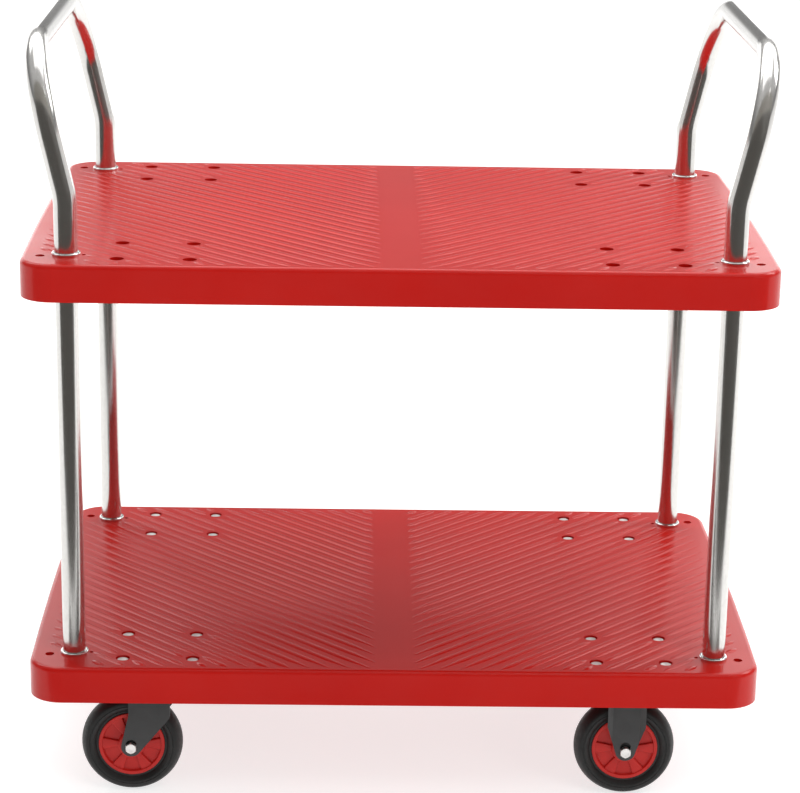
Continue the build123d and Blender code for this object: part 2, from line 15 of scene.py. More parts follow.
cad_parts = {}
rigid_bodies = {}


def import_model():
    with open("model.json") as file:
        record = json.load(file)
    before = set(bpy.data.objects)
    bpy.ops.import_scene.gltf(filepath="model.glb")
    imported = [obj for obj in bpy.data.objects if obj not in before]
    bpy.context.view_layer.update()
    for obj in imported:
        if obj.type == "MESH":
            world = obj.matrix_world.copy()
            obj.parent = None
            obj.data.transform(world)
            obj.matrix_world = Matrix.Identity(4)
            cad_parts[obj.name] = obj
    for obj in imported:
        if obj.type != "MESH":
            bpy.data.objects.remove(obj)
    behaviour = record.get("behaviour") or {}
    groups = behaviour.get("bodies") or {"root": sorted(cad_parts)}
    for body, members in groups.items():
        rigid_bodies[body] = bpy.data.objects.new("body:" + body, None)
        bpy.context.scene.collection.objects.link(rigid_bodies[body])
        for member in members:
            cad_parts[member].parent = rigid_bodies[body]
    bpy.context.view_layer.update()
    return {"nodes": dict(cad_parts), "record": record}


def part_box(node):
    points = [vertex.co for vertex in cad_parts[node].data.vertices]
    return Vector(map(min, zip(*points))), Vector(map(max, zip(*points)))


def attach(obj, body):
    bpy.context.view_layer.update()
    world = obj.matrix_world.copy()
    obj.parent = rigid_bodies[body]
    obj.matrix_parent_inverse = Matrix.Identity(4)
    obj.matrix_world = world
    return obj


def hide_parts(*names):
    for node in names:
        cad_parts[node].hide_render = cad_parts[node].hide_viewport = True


for leftover in list(bpy.data.objects):
    bpy.data.objects.remove(leftover)
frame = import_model()
SCENE = bpy.context.scene
MM = 0.001

# %% [markdown]
# ## Places that everything else is measured from
# A maker works from a few datum lines: the tops of the decks, the lines of the posts and
# the axles. They could be typed in again, but then the looks and the CAD could drift apart.
# So each one is read from the box of a CAD piece.

# %% Datum lines
CORNERS = {
    "front_left": (-1, -1),
    "front_right": (1, -1),
    "rear_left": (-1, 1),
    "rear_right": (1, 1),
}


def middle(node):
    """Centre of a CAD piece's box."""
    low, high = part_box(node)
    return (low + high) / 2


DECK_TOPS = {"lower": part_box("lower_deck")[1].z, "upper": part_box("upper_deck")[1].z}
DECK_HALF_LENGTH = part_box("upper_deck")[1].x
DECK_HALF_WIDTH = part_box("upper_deck")[1].y
POST_X = middle("post_front_right").x
POST_Y = middle("post_rear_right").y
TUBE_RADIUS = (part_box("post_front_right")[1].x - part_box("post_front_right")[0].x) / 2
AXLES = {corner: middle("tyre_" + corner) for corner in CORNERS}
CASTER_X = middle("rigid_bracket_front_right").x
CASTER_Y = middle("rigid_bracket_rear_right").y
print("deck tops", {k: round(v, 4) for k, v in DECK_TOPS.items()})
print("posts at", round(POST_X, 4), round(POST_Y, 4), "casters at", round(CASTER_X, 4))

# %% [markdown]
# ## Finishes
# Every finish is made of nodes on object coordinates, so its grain has a real size: one
# unit is a metre, and a noise scale of 400 gives a feature about 2.5 mm across. Image
# textures could carry the same detail, but nodes stay sharp at any distance. Each finish
# has a broad drift of colour, a fine grain in its roughness and a shallow bump.


# %% A helper for node trees
class Nodes:
    """Adds nodes to a tree by their type and joins their sockets."""

    def __init__(self, tree):
        self.tree = tree

    def add(self, kind, inputs=None, **settings):
        node = self.tree.nodes.new(kind)
        for key, value in settings.items():
            setattr(node, key, value)
        for key, value in (inputs or {}).items():
            if isinstance(value, bpy.types.NodeSocket):
                self.tree.links.new(value, node.inputs[key])
            else:
                node.inputs[key].default_value = value
        return node


# %% A helper for finishes
def remap(nodes, value, low, high, start=0.35, stop=0.65):
    """Map the values from start to stop onto the range from low to high."""
    node = nodes.add(
        "ShaderNodeMapRange",
        {"Value": value, "From Min": start, "From Max": stop, "To Min": low, "To Max": high},
    )
    return node.outputs["Result"]


def noise(nodes, place, scale, detail=3.0, rough=0.55):
    """Noise whose scale counts features per metre."""
    node = nodes.add(
        "ShaderNodeTexNoise",
        {"Vector": place, "Scale": scale, "Detail": detail, "Roughness": rough},
    )
    return node.outputs["Fac"]


def stretched(nodes, place, scale):
    """Coordinates squeezed along an axis, which draws a pattern out along it."""
    node = nodes.add("ShaderNodeMapping", {"Vector": place, "Scale": scale})
    return node.outputs["Vector"]


def finish_of(name, dark, light, rough, peel, grain, drift=9.0, **fixed):
    """A finish with drifting colour, grained roughness and two sizes of bump.
    rough is (least, most); peel and grain are (features per metre, depth in metres).
    Each fixed value goes onto the shader's socket of that name."""
    material = bpy.data.materials.new(name)
    material.use_nodes = True
    nodes = Nodes(material.node_tree)
    shader = material.node_tree.nodes["Principled BSDF"]
    for key, value in fixed.items():
        shader.inputs[key.replace("_", " ")].default_value = value
    place = nodes.add("ShaderNodeTexCoord").outputs["Object"]
    broad = noise(nodes, place, drift, 4.0)
    mixed = nodes.add(
        "ShaderNodeMix",
        {"Factor": remap(nodes, broad, 0.0, 1.0), "A": (*dark, 1), "B": (*light, 1)},
        data_type="RGBA",
    )
    material.node_tree.links.new(mixed.outputs["Result"], shader.inputs["Base Color"])
    coarse, fine = noise(nodes, place, peel[0]), noise(nodes, place, grain[0], 2.0)
    worn = noise(nodes, place, drift * 6, 5.0, 0.65)
    material.node_tree.links.new(remap(nodes, worn, *rough), shader.inputs["Roughness"])
    low = nodes.add(
        "ShaderNodeBump", {"Height": coarse, "Distance": peel[1], "Strength": 1.0}
    )
    high = nodes.add(
        "ShaderNodeBump",
        {
            "Height": fine,
            "Distance": grain[1],
            "Strength": 1.0,
            "Normal": low.outputs["Normal"],
        },
    )
    material.node_tree.links.new(high.outputs["Normal"], shader.inputs["Normal"])
    return material


# %% The finishes
FINISHES = {
    "deck_plastic": finish_of(
        "deck_red_gloss",
        (0.46, 0.0055, 0.003),
        (0.50, 0.0075, 0.004),
        (0.22, 0.27),
        (140, 0.000008),
        (2400, 0.000004),
        drift=3.0,
        Specular_IOR_Level=0.25,
        Coat_Weight=0.12,
        Coat_Roughness=0.09,
    ),
    "collar_chrome": finish_of(
        "collar_chrome",
        (0.78, 0.77, 0.76),
        (0.86, 0.86, 0.86),
        (0.04, 0.10),
        (120, 0.00001),
        (3000, 0.000002),
        Metallic=1.0,
    ),
    "zinc_steel": finish_of(
        "bright_zinc",
        (0.74, 0.73, 0.71),
        (0.86, 0.85, 0.83),
        (0.28, 0.44),
        (600, 0.00001),
        (3500, 0.000005),
        drift=90.0,
        Metallic=1.0,
    ),
    "bearing_steel": finish_of(
        "greased_steel",
        (0.34, 0.34, 0.34),
        (0.58, 0.58, 0.59),
        (0.12, 0.30),
        (500, 0.000005),
        (3000, 0.000003),
        drift=60.0,
        Metallic=1.0,
    ),
    "grey_paint": finish_of(
        "grey_powder_coat",
        (0.026, 0.027, 0.027),
        (0.036, 0.037, 0.037),
        (0.30, 0.44),
        (900, 0.00003),
        (4200, 0.00001),
        drift=30.0,
    ),
    "black_plastic": finish_of(
        "black_nylon",
        (0.012, 0.012, 0.012),
        (0.022, 0.022, 0.022),
        (0.38, 0.52),
        (500, 0.00001),
        (3500, 0.000008),
        drift=40.0,
    ),
    "bush_plastic": finish_of(
        "natural_nylon",
        (0.62, 0.60, 0.54),
        (0.74, 0.72, 0.67),
        (0.36, 0.50),
        (400, 0.00001),
        (3000, 0.000006),
        drift=50.0,
    ),
    "hub_plastic": finish_of(
        "hub_red",
        (0.46, 0.012, 0.009),
        (0.54, 0.018, 0.013),
        (0.34, 0.46),
        (450, 0.00002),
        (3200, 0.00001),
        drift=35.0,
        Specular_IOR_Level=0.3,
    ),
    "tyre_rubber": finish_of(
        "tyre_rubber",
        (0.004, 0.0045, 0.004),
        (0.008, 0.0085, 0.008),
        (0.44, 0.60),
        (700, 0.00004),
        (3800, 0.00002),
        drift=40.0,
    ),
}
print(len(FINISHES), "finishes")

# %% [markdown]
# ### Bright tube
# The posts and handles are polished steel tube. Polishing leaves faint lines along the
# tube, which have to bend with a handle, so this finish reads two values that each tube
# carries on its surface: how far along it a point is, and how far round. Object
# coordinates would do for the straight posts but would cut across the bends.


# %% The tube's finish
def tube_finish():
    """Polished steel with faint lines along the tube and fainter marks across it."""
    material = bpy.data.materials.new("bright_tube")
    material.use_nodes = True
    links = material.node_tree.links
    nodes = Nodes(material.node_tree)
    shader = material.node_tree.nodes["Principled BSDF"]
    shader.inputs["Metallic"].default_value = 1.0
    along = nodes.add("ShaderNodeAttribute", attribute_name="along").outputs["Fac"]
    around = nodes.add("ShaderNodeAttribute", attribute_name="around").outputs["Fac"]
    turn = nodes.add("ShaderNodeMath", {0: around, 1: 2 * pi}, operation="MULTIPLY")
    across = nodes.add("ShaderNodeMath", {0: turn.outputs[0]}, operation="COSINE")
    upright = nodes.add("ShaderNodeMath", {0: turn.outputs[0]}, operation="SINE")
    place = nodes.add(
        "ShaderNodeCombineXYZ",
        {"X": across.outputs[0], "Y": upright.outputs[0], "Z": along},
    ).outputs["Vector"]
    lines = noise(nodes, stretched(nodes, place, (9.0, 9.0, 2.0)), 2.4, 5.0, 0.7)
    marks = noise(nodes, stretched(nodes, place, (1.0, 1.0, 60.0)), 3.0, 4.0, 0.6)
    tint = nodes.add(
        "ShaderNodeMix",
        {
            "Factor": remap(nodes, marks, 0.0, 1.0),
            "A": (0.64, 0.625, 0.605, 1),
            "B": (0.68, 0.67, 0.65, 1),
        },
        data_type="RGBA",
    )
    links.new(tint.outputs["Result"], shader.inputs["Base Color"])
    links.new(remap(nodes, lines, 0.13, 0.23), shader.inputs["Roughness"])
    bump = nodes.add("ShaderNodeBump", {"Height": lines, "Distance": 0.000012})
    links.new(bump.outputs["Normal"], shader.inputs["Normal"])
    return material


FINISHES["bright_tube"] = tube_finish()
print("tube finish reads its own along and around values")

# %% [markdown]
# ### Paint the CAD pieces
# The decks, balls, kingpins, sleeves and hidden bolts are right as the CAD gives them.
# Each keeps its mesh and only takes a finish, by the slot that the record names for it.

# %% Give every CAD piece its finish
SLOT_OF = {}
for subpart in frame["record"]["subparts"]:
    SLOT_OF[subpart["node"]] = subpart["material_slot"]
for node, cad_object in frame["nodes"].items():
    cad_object.data.materials.clear()
    cad_object.data.materials.append(FINISHES[SLOT_OF[node]])
print(len(SLOT_OF), "CAD pieces painted")

# %% [markdown]
# ## Helpers for meshes
# A lathe turns a closed outline about an axis, and rounding its corners first gives every
# edge the small radius that catches light. A finished mesh becomes a piece in one place,
# which gives it its body and its finish and hides any CAD pieces that it stands for.


# %% Turn a mesh into a piece
def add_piece(name, mesh, slot, body, *nodes, sharp=32.0):
    """Shade a mesh smooth except at its edges, and add it as a piece that rides on a body."""
    mesh.shade_smooth()
    mesh.set_sharp_from_angle(angle=radians(sharp))
    mesh.materials.clear()
    mesh.materials.append(FINISHES[slot])
    piece = bpy.data.objects.new(name, mesh)
    SCENE.collection.objects.link(piece)
    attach(piece, body)
    if nodes:
        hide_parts(*nodes)
    print(name, "has", len(mesh.polygons), "faces and rides on", body)
    return piece


def mesh_of(name, bm):
    """A plain mesh from a bmesh, with its faces turned outwards."""
    bmesh.ops.recalc_face_normals(bm, faces=bm.faces)
    mesh = bpy.data.meshes.new(name)
    bm.to_mesh(mesh)
    bm.free()
    return mesh


# %% Round the corners of an outline
def rounded(corners, steps=4):
    """Corners are (x, y, radius). Each corner with a radius becomes a short arc."""
    points = []
    for index, (x, y, radius) in enumerate(corners):
        here = Vector((x, y))
        if not radius:
            points.append(here)
            continue
        before = (Vector(corners[index - 1][:2]) - here).normalized()
        after = (Vector(corners[(index + 1) % len(corners)][:2]) - here).normalized()
        half = before.angle(after) / 2
        centre = here + (before + after).normalized() * (radius / sin(half))
        start = here + before * (radius / tan(half)) - centre
        stop = here + after * (radius / tan(half)) - centre
        sweep = start.angle_signed(stop)
        for step in range(steps + 1):
            turned = Matrix.Rotation(-sweep * step / steps, 2) @ start
            points.append(centre + turned)
    return points


# %% A lathe
def turn_on_lathe(bm, outline, place=Matrix(), steps=72):
    """Turn a closed (radius, height) outline about Z, then move it to its place."""
    rings = []
    for step in range(steps):
        angle = 2 * pi * step / steps
        rings.append(
            [
                bm.verts.new(place @ Vector((r * cos(angle), r * sin(angle), z)))
                for r, z in outline
            ]
        )
    count = len(outline)
    for here, there in zip(rings, rings[1:] + rings[:1]):
        for k in range(count):
            m = (k + 1) % count
            bm.faces.new((here[k], here[m], there[m], there[k]))


# %% [markdown]
# ## A helper for Geometry Nodes
# Geometry Nodes make what repeats or follows a path here. Each tree is written out with
# named inputs. A plain mesh goes in, the tree grows the real shape on it, and the result
# is turned back into a plain mesh, so that nothing depends on a live modifier later.


# %% Start and run a node tree
def new_tree(name, **sockets):
    """A tree with a geometry input, the named inputs and a geometry output."""
    tree = bpy.data.node_groups.new(name, "GeometryNodeTree")
    face = tree.interface
    face.new_socket("Geometry", in_out="INPUT", socket_type="NodeSocketGeometry")
    for title, kind in sockets.items():
        face.new_socket(title, in_out="INPUT", socket_type="NodeSocket" + kind)
    face.new_socket("Geometry", in_out="OUTPUT", socket_type="NodeSocketGeometry")
    nodes = Nodes(tree)
    return tree, nodes, nodes.add("NodeGroupInput").outputs


def end_tree(nodes, geometry, given):
    """Close a tree: realize what is instanced, and set the material."""
    real = nodes.add("GeometryNodeRealizeInstances", {"Geometry": geometry})
    painted = nodes.add(
        "GeometryNodeSetMaterial",
        {"Geometry": real.outputs[0], "Material": given["Material"]},
    )
    nodes.add("NodeGroupOutput", {"Geometry": painted.outputs[0]})


def grow(tree, base, **values):
    """Run a tree on a mesh and give back the result as a plain mesh."""
    maker = bpy.data.objects.new("maker", base)
    SCENE.collection.objects.link(maker)
    modifier = maker.modifiers.new("grow", "NODES")
    modifier.node_group = tree
    for item in tree.interface.items_tree:
        if item.item_type == "SOCKET" and item.in_out == "INPUT" and item.name in values:
            modifier[item.identifier] = values[item.name]
    graph = bpy.context.evaluated_depsgraph_get()
    grown = bpy.data.meshes.new_from_object(
        maker.evaluated_get(graph), preserve_all_data_layers=True, depsgraph=graph
    )
    maker.modifiers.remove(modifier)
    bpy.data.objects.remove(maker)
    return grown


# %% [markdown]
# ## Anti-slip ridges
# Each deck is moulded with low ridges in a chevron: they lean one way on the left half and
# the other way on the right, and stop short of the posts, the bolt recesses, the corners
# and a plain band down the middle. A displacement map would need a very fine mesh. Instead,
# the centre line of each ridge is worked out as one edge, and a tree sweeps a low arc along
# it and lets it sink to nothing at both ends.

# %% Where the ridges may run
RIDGE_PITCH = 25 * MM
RIDGE_WIDTH = 10 * MM
RIDGE_HEIGHT = 1.2 * MM
RIDGE_SHORTEST = 15 * MM
RIDGE_TAPER = 9 * MM
RIDGE_SINK = 0.15 * MM
RIDGE_STEPS = 15
MIDDLE_BAND = 24 * MM
END_MARGIN = 21 * MM
SIDE_MARGIN = 11 * MM
CORNER_PAD_X = 23 * MM
CORNER_PAD_Y = 14 * MM
POST_PAD = 23 * MM
RECESS_PAD = 13 * MM
BOLTS_X, BOLTS_Y = 43 * MM, 40 * MM


def recess_places():
    """The sixteen places where a caster's bolt goes through a deck."""
    return [
        (side * CASTER_X + dx, front * CASTER_Y + dy)
        for side, front in CORNERS.values()
        for dx in (-BOLTS_X, BOLTS_X)
        for dy in (-BOLTS_Y, BOLTS_Y)
    ]


def ridge_allowed(x, y):
    """Whether a ridge may cross this point of the deck."""
    ax, ay = abs(x), abs(y)
    if ax < MIDDLE_BAND or ax > DECK_HALF_LENGTH - END_MARGIN:
        return False
    if ay > DECK_HALF_WIDTH - SIDE_MARGIN:
        return False
    if ax > POST_X - CORNER_PAD_X and ay > POST_Y - CORNER_PAD_Y:
        return False
    if hypot(ax - POST_X, ay - POST_Y) < POST_PAD:
        return False
    return all(hypot(x - rx, y - ry) > RECESS_PAD for rx, ry in RECESSES)


RECESSES = recess_places()


# %% The centre lines of the ridges
def ridge_lines(level):
    """Edges along the ridges of one deck, cut where a ridge has to stop."""
    step = 1 * MM
    last = int(2 * DECK_HALF_WIDTH / step)
    reach = DECK_HALF_LENGTH + DECK_HALF_WIDTH
    points, edges = [], []
    for side in (-1, 1):
        for index in range(1, int(reach / RIDGE_PITCH) * 2):
            offset = index * RIDGE_PITCH - DECK_HALF_WIDTH
            run = []
            for k in range(last + 1):
                y = -DECK_HALF_WIDTH + k * step
                x = side * (offset + y)
                inside = side * x > 0 and ridge_allowed(x, y)
                if inside:
                    run.append((x, y, level))
                if run and (not inside or k == last):
                    first, final = run[0], run[-1]
                    if hypot(final[0] - first[0], final[1] - first[1]) > RIDGE_SHORTEST:
                        edges.append((len(points), len(points) + 1))
                        points += [first, final]
                    run = []
    mesh = bpy.data.meshes.new("ridge_lines")
    mesh.from_pydata(points, edges, [])
    return mesh


# %% The tree that grows the ridges
def ridge_tree():
    """Sweep a low arc along each line, sunk at both ends."""
    tree, nodes, given = new_tree(
        "anti_slip_ridges",
        Width="Float",
        Height="Float",
        Taper="Float",
        Steps="Int",
        Material="Material",
    )

    def maths(operation, a, b=0.0):
        return nodes.add("ShaderNodeMath", {0: a, 1: b}, operation=operation).outputs[0]

    curve = nodes.add("GeometryNodeMeshToCurve", {"Mesh": given["Geometry"]}).outputs[0]
    curve = nodes.add(
        "GeometryNodeResampleCurve", {"Curve": curve, "Count": given["Steps"]}
    ).outputs[0]
    curve = nodes.add("GeometryNodeSetCurveNormal", {"Curve": curve}, mode="Z_UP").outputs[0]
    along = nodes.add("GeometryNodeSplineParameter").outputs["Length"]
    whole = nodes.add("GeometryNodeSplineLength").outputs["Length"]
    near = maths("MINIMUM", along, maths("SUBTRACT", whole, along))
    share = nodes.add(
        "ShaderNodeMapRange",
        {
            "Value": near,
            "From Min": 0.0,
            "From Max": given["Taper"],
            "To Min": 0.3,
            "To Max": 1.0,
        },
        interpolation_type="SMOOTHSTEP",
    ).outputs[0]
    half = maths("DIVIDE", given["Width"], 2.0)
    squared = maths("MULTIPLY", half, half)
    tall = maths("MULTIPLY", given["Height"], given["Height"])
    radius = maths("DIVIDE", maths("ADD", squared, tall), maths("MULTIPLY", given["Height"], 2.0))
    spread = maths("ARCSINE", maths("DIVIDE", half, radius))
    arc = nodes.add(
        "GeometryNodeCurveArc",
        {
            "Resolution": 9,
            "Radius": radius,
            "Start Angle": maths("SUBTRACT", -pi / 2, spread),
            "Sweep Angle": maths("MULTIPLY", spread, 2.0),
        },
        mode="RADIUS",
    ).outputs[0]
    arc = nodes.add("GeometryNodeSetSplineCyclic", {"Geometry": arc, "Cyclic": True}).outputs[0]
    drop = nodes.add(
        "ShaderNodeCombineXYZ", {"Y": maths("SUBTRACT", radius, given["Height"])}
    ).outputs[0]
    arc = nodes.add("GeometryNodeTransform", {"Geometry": arc, "Translation": drop}).outputs[0]
    swept = nodes.add(
        "GeometryNodeCurveToMesh",
        {"Curve": curve, "Profile Curve": arc, "Scale": share, "Fill Caps": True},
    ).outputs[0]
    end_tree(nodes, swept, given)
    return tree


RIDGE_TREE = ridge_tree()

# %% Grow the ridges on both decks
for deck, top in DECK_TOPS.items():
    grown = grow(
        RIDGE_TREE,
        ridge_lines(top - RIDGE_SINK),
        Width=RIDGE_WIDTH,
        Height=RIDGE_HEIGHT + RIDGE_SINK,
        Taper=RIDGE_TAPER,
        Steps=RIDGE_STEPS,
        Material=FINISHES["deck_plastic"],
    )
    heights = [v.co.z - top for v in grown.vertices]
    print("ridges from", round(min(heights) * 1000, 2), "to", round(max(heights) * 1000, 2), "mm")
    add_piece(deck + "_deck_ridges", grown, "deck_plastic", "frame", sharp=60.0)

# %% [markdown]
# ## Posts and handles
# Each post is a straight length of 28 mm tube, and each handle is one tube bent into a U:
# a short upright foot, a gentle bend outwards, a leaning run and a rounded corner into the
# crossbar. The path is laid down as points, closer together round the bends, and a tree
# sweeps the tube along it. The tree also writes how far along and round each point is,
# which the tube's finish reads.


# %% The tree that sweeps a tube
TUBE_SIDES = 64


def tube_tree():
    """Sweep a circle along a path and store where each point is, along and around."""
    tree, nodes, given = new_tree("bent_tube", Radius="Float", Sides="Int", Material="Material")
    curve = nodes.add("GeometryNodeMeshToCurve", {"Mesh": given["Geometry"]}).outputs[0]
    along = nodes.add("GeometryNodeSplineParameter").outputs["Length"]
    curve = nodes.add(
        "GeometryNodeStoreNamedAttribute",
        {"Geometry": curve, "Name": "along", "Value": along},
        data_type="FLOAT",
        domain="POINT",
    ).outputs[0]
    circle = nodes.add(
        "GeometryNodeCurvePrimitiveCircle",
        {"Resolution": given["Sides"], "Radius": given["Radius"]},
        mode="RADIUS",
    ).outputs[0]
    around = nodes.add("GeometryNodeSplineParameter").outputs["Factor"]
    circle = nodes.add(
        "GeometryNodeStoreNamedAttribute",
        {"Geometry": circle, "Name": "around", "Value": around},
        data_type="FLOAT",
        domain="POINT",
    ).outputs[0]
    swept = nodes.add(
        "GeometryNodeCurveToMesh",
        {"Curve": curve, "Profile Curve": circle, "Fill Caps": True},
    ).outputs[0]
    end_tree(nodes, swept, given)
    return tree


TUBE_TREE = tube_tree()


def path_mesh(points):
    """An edge mesh along a list of points."""
    mesh = bpy.data.meshes.new("path")
    mesh.from_pydata(points, [(k, k + 1) for k in range(len(points) - 1)], [])
    return mesh


def add_tube(name, points, *nodes):
    """Sweep the tube along the points and add it as a piece of the frame."""
    grown = grow(
        TUBE_TREE,
        path_mesh(points),
        Radius=TUBE_RADIUS,
        Sides=TUBE_SIDES,
        Material=FINISHES["bright_tube"],
    )
    return add_piece(name, grown, "bright_tube", "frame", *nodes)


# %% The posts
POST_STEPS = 8
for corner in CORNERS:
    low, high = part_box("post_" + corner)
    centre = (low + high) / 2
    path = [
        (centre.x, centre.y, low.z + (high.z - low.z) * step / POST_STEPS)
        for step in range(POST_STEPS + 1)
    ]
    add_tube("post_tube_" + corner, path, "post_" + corner)

# %% The path of a handle
HANDLE_FOOT = 57.6 * MM
HANDLE_BEND = 98 * MM
HANDLE_LEAN = radians(12.6)
HANDLE_HEIGHT = 241.3 * MM
HANDLE_CORNER = 105 * MM
BEND_STEPS = 16
CORNER_STEPS = 40


def handle_points(side):
    """Centre line of a handle, from the foot of its front leg to the foot of its rear leg."""
    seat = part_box("left_handle")[0].z
    level = DECK_TOPS["upper"] + HANDLE_FOOT
    bend_out = HANDLE_BEND * (1 - cos(HANDLE_LEAN))
    bend_up = HANDLE_BEND * sin(HANDLE_LEAN)
    slope = (HANDLE_HEIGHT - HANDLE_FOOT - bend_up) / cos(HANDLE_LEAN)
    leg = [(0.0, seat, 0.0), (0.0, (seat + level) / 2, 0.0)]
    for step in range(BEND_STEPS + 1):
        angle = HANDLE_LEAN * step / BEND_STEPS
        leg.append((HANDLE_BEND * (1 - cos(angle)), level + HANDLE_BEND * sin(angle), 0.0))
    run = slope - HANDLE_CORNER
    for step in range(CORNER_STEPS + 1):
        angle = pi / 2 * step / CORNER_STEPS
        climb = run + HANDLE_CORNER * sin(angle)
        inward = HANDLE_CORNER * (1 - cos(angle))
        outwards = bend_out + climb * sin(HANDLE_LEAN)
        leg.append((outwards, level + bend_up + climb * cos(HANDLE_LEAN), inward))
    front = [(side * (POST_X + out), -(POST_Y - inward), up) for out, up, inward in leg]
    middle_of_bar = [(front[-1][0], y * POST_Y, front[-1][2]) for y in (-0.3, 0.0, 0.3)]
    rear = [(x, -y, z) for x, y, z in reversed(front)]
    return front + middle_of_bar + rear


# %% The handles
for side, name in ((-1, "left"), (1, "right")):
    add_tube(name + "_handle_tube", handle_points(side), name + "_handle")

# %% [markdown]
# ## Trim collars
# A chromed ring covers the joint where each tube leaves a deck. The rings are alike, so one
# is turned on the lathe with soft edges, and a tree sets it on the four places of a deck.


# %% The tree that repeats a piece
def repeat_tree():
    """Set a piece on each point, turned by the angles that the point carries."""
    tree, nodes, given = new_tree("set_out", Piece="Object", Material="Material")
    shape = nodes.add("GeometryNodeObjectInfo", {"Object": given["Piece"]}).outputs["Geometry"]
    turn = nodes.add(
        "GeometryNodeInputNamedAttribute", {"Name": "turn"}, data_type="FLOAT_VECTOR"
    ).outputs["Attribute"]
    placed = nodes.add(
        "GeometryNodeInstanceOnPoints",
        {"Points": given["Geometry"], "Instance": shape, "Rotation": turn},
    ).outputs[0]
    end_tree(nodes, placed, given)
    return tree


REPEAT_TREE = repeat_tree()


def set_out(pattern, places, material, turns=None):
    """Repeat a mesh at each place, turned by the angles given."""
    points = bpy.data.meshes.new("places")
    points.from_pydata(places, [], [])
    turns = turns or [(0.0, 0.0, 0.0)] * len(places)
    turn = points.attributes.new("turn", "FLOAT_VECTOR", "POINT")
    turn.data.foreach_set("vector", [value for angles in turns for value in angles])
    holder = bpy.data.objects.new("pattern", pattern)
    SCENE.collection.objects.link(holder)
    grown = grow(REPEAT_TREE, points, Piece=holder, Material=material)
    bpy.data.objects.remove(holder)
    return grown


# %% Collars on both decks
COLLAR_GAP = 0.1 * MM
COLLAR_WIDTH = 3.0 * MM
COLLAR_HEIGHT = 3.5 * MM


def collar_mesh():
    """A ring about Z that sits on z = 0, softest at its outer top edge."""
    inner = TUBE_RADIUS + COLLAR_GAP
    outer = inner + COLLAR_WIDTH
    outline = rounded(
        [
            (inner, 0.0, 0.0),
            (outer, 0.0, 0.2 * MM),
            (outer, COLLAR_HEIGHT, 1.3 * MM),
            (inner, COLLAR_HEIGHT, 0.4 * MM),
        ]
    )
    bm = bmesh.new()
    turn_on_lathe(bm, outline)
    return mesh_of("collar", bm)


for deck, top in DECK_TOPS.items():
    places = [(sx * POST_X, sy * POST_Y, top) for sx, sy in CORNERS.values()]
    grown = set_out(collar_mesh(), places, FINISHES["collar_chrome"])
    add_piece(deck + "_trim_collars", grown, "collar_chrome", "frame", deck + "_collars")

# %% [markdown]
# ## Bolts and nuts
# The lower deck's recesses show the heads of the caster bolts. A hexagon head has its
# corners turned off by a cone, which a plain prism lacks. Here each head is a stack of
# loops with 24 points: the six-sided loops and the round ones have matching points, so the
# chamfer is just the band between a hexagon and a circle.


# %% Loops for hexagons and circles
LOOP = 24


def hexagon_radius(flats, angle):
    """Distance from the middle to a hexagon's side at an angle."""
    return flats / 2 / cos((angle + pi / 6) % (pi / 3) - pi / 6)


def loop_points(size, kind, z):
    """A loop of points: a circle by its radius, or a hexagon by the width over its flats."""
    points = []
    for step in range(LOOP):
        angle = 2 * pi * step / LOOP
        r = size if kind == "round" else hexagon_radius(size, angle)
        points.append((r * cos(angle), r * sin(angle), z))
    return points


def stack_loops(bm, loops, place, closed=False):
    """Join loops one to the next; a closed stack is a ring, an open one gets flat ends."""
    rows = [[bm.verts.new(place @ Vector(p)) for p in loop] for loop in loops]
    following = rows[1:] + rows[:1] if closed else rows[1:]
    for here, there in zip(rows, following):
        for k in range(LOOP):
            m = (k + 1) % LOOP
            bm.faces.new((here[k], here[m], there[m], there[k]))
    if not closed:
        bm.faces.new(rows[0])
        bm.faces.new(rows[-1])


# %% A bolt and a nut
BOLT_RADIUS = 4.0 * MM
BOLT_FLATS = 13.0 * MM
HEAD_HEIGHT = 5.3 * MM
NUT_HEIGHT = 6.5 * MM
CHAMFER = 0.9 * MM


def bolt_loops(length):
    """A bolt about Z whose head sits on z = 0 and whose shank hangs below."""
    tip = 0.8 * MM
    return [
        loop_points(BOLT_RADIUS - tip, "round", -length),
        loop_points(BOLT_RADIUS, "round", -length + tip),
        loop_points(BOLT_RADIUS, "round", 0.0),
        loop_points(BOLT_FLATS * 0.48, "round", 0.0),
        loop_points(BOLT_FLATS * 0.48, "round", 0.3 * MM),
        loop_points(BOLT_FLATS, "six", 0.3 * MM),
        loop_points(BOLT_FLATS, "six", HEAD_HEIGHT - CHAMFER),
        loop_points(BOLT_FLATS * 0.49, "round", HEAD_HEIGHT - 0.1 * MM),
        loop_points(BOLT_FLATS * 0.44, "round", HEAD_HEIGHT),
        loop_points(BOLT_FLATS * 0.30, "round", HEAD_HEIGHT - 0.25 * MM),
    ]


def nut_loops():
    """A nut about Z that hangs below z = 0, chamfered on both faces."""
    bore = BOLT_RADIUS + 0.05 * MM
    return [
        loop_points(bore, "round", 0.0),
        loop_points(BOLT_FLATS * 0.47, "round", 0.0),
        loop_points(BOLT_FLATS, "six", -CHAMFER),
        loop_points(BOLT_FLATS, "six", -NUT_HEIGHT + CHAMFER),
        loop_points(BOLT_FLATS * 0.47, "round", -NUT_HEIGHT),
        loop_points(bore + 0.6 * MM, "round", -NUT_HEIGHT),
        loop_points(bore, "round", -NUT_HEIGHT + 0.6 * MM),
    ]


def hardware(name, loops, place=Matrix(), closed=False):
    """A bolt's or a nut's mesh from its loops."""
    bm = bmesh.new()
    stack_loops(bm, loops, place, closed)
    return mesh_of(name, bm)


